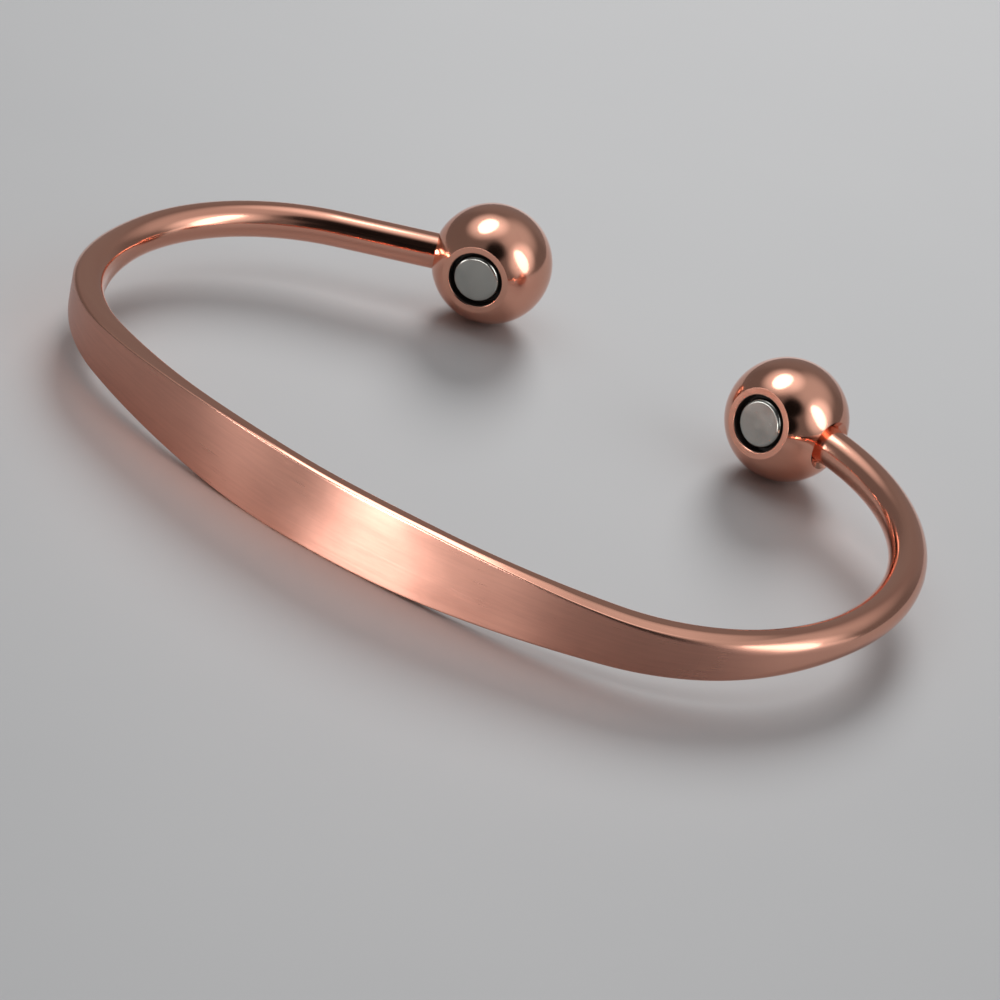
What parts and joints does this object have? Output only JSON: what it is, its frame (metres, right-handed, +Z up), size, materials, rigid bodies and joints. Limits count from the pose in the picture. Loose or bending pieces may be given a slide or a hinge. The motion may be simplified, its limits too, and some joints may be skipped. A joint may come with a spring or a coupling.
{
  "type": "magnetic bracelet",
  "caption": "Open oval bangle of round copper wire, forged flat across the front, with a ball on each end and a disc magnet set in the wrist side of each ball.",
  "frame": {"origin": "on the surface that the bangle lies on, below the middle of its overall box", "axes": "+X along the long way of the oval, towards the right ball; -Y out of the flat front; +Y out of the gap between the balls; +Z up"},
  "size_m": [0.0742, 0.0488, 0.01],
  "materials": {
    "copper": "polished copper, finely brushed on the forged flat's outer face",
    "magnet": "nickel plate, a little dulled"
  },
  "bodies": {
    "root": {"band": "copper", "ball_left": "copper", "ball_right": "copper", "magnet_left": "magnet", "magnet_right": "magnet"}
  },
  "joints": []
}
